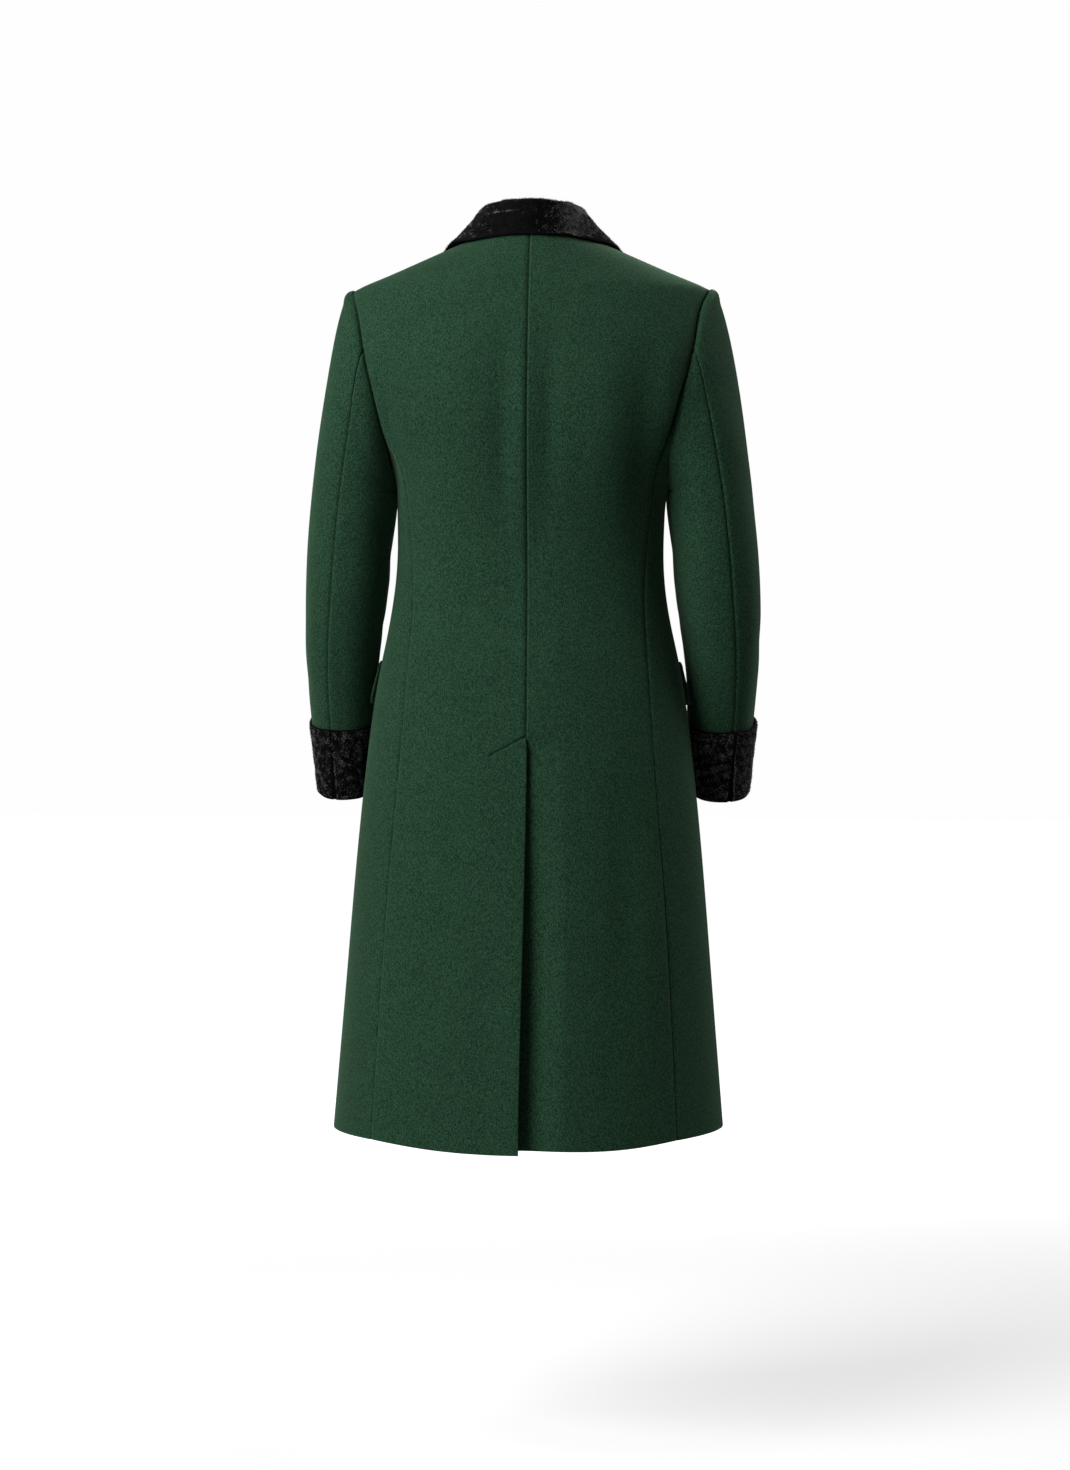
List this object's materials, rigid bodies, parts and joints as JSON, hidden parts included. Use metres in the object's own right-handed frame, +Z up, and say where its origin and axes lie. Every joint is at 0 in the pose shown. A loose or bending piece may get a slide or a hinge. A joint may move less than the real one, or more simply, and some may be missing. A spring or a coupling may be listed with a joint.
{
  "type": "long wool coat",
  "caption": "Long fitted wool overcoat in its worn, hollow form, with a black pile collar and turned-back cuffs, hip pocket flaps and a back vent.",
  "frame": {"origin": "middle of the neck, just under the level of the neck seam, where the wearer's shoulders carry the coat", "axes": "+Z up the coat's length, +Y towards its back, +X towards its own left side"},
  "size_m": [0.5908, 0.3795, 1.208],
  "materials": {
    "wool": "matte felted nap",
    "pile": "soft short pile with grey sheen",
    "horn": "polished"
  },
  "bodies": {
    "root": {"back_left": "wool", "back_right": "wool", "side_left": "wool", "side_right": "wool", "front_left": "wool", "front_right": "wool", "sleeve_top_left": "wool", "sleeve_top_right": "wool", "sleeve_under_left": "wool", "sleeve_under_right": "wool", "flap_left": "wool", "flap_right": "wool", "collar": "pile", "cuff_left": "pile", "cuff_right": "pile", "button_1": "horn", "button_2": "horn", "button_3": "horn"}
  },
  "joints": []
}
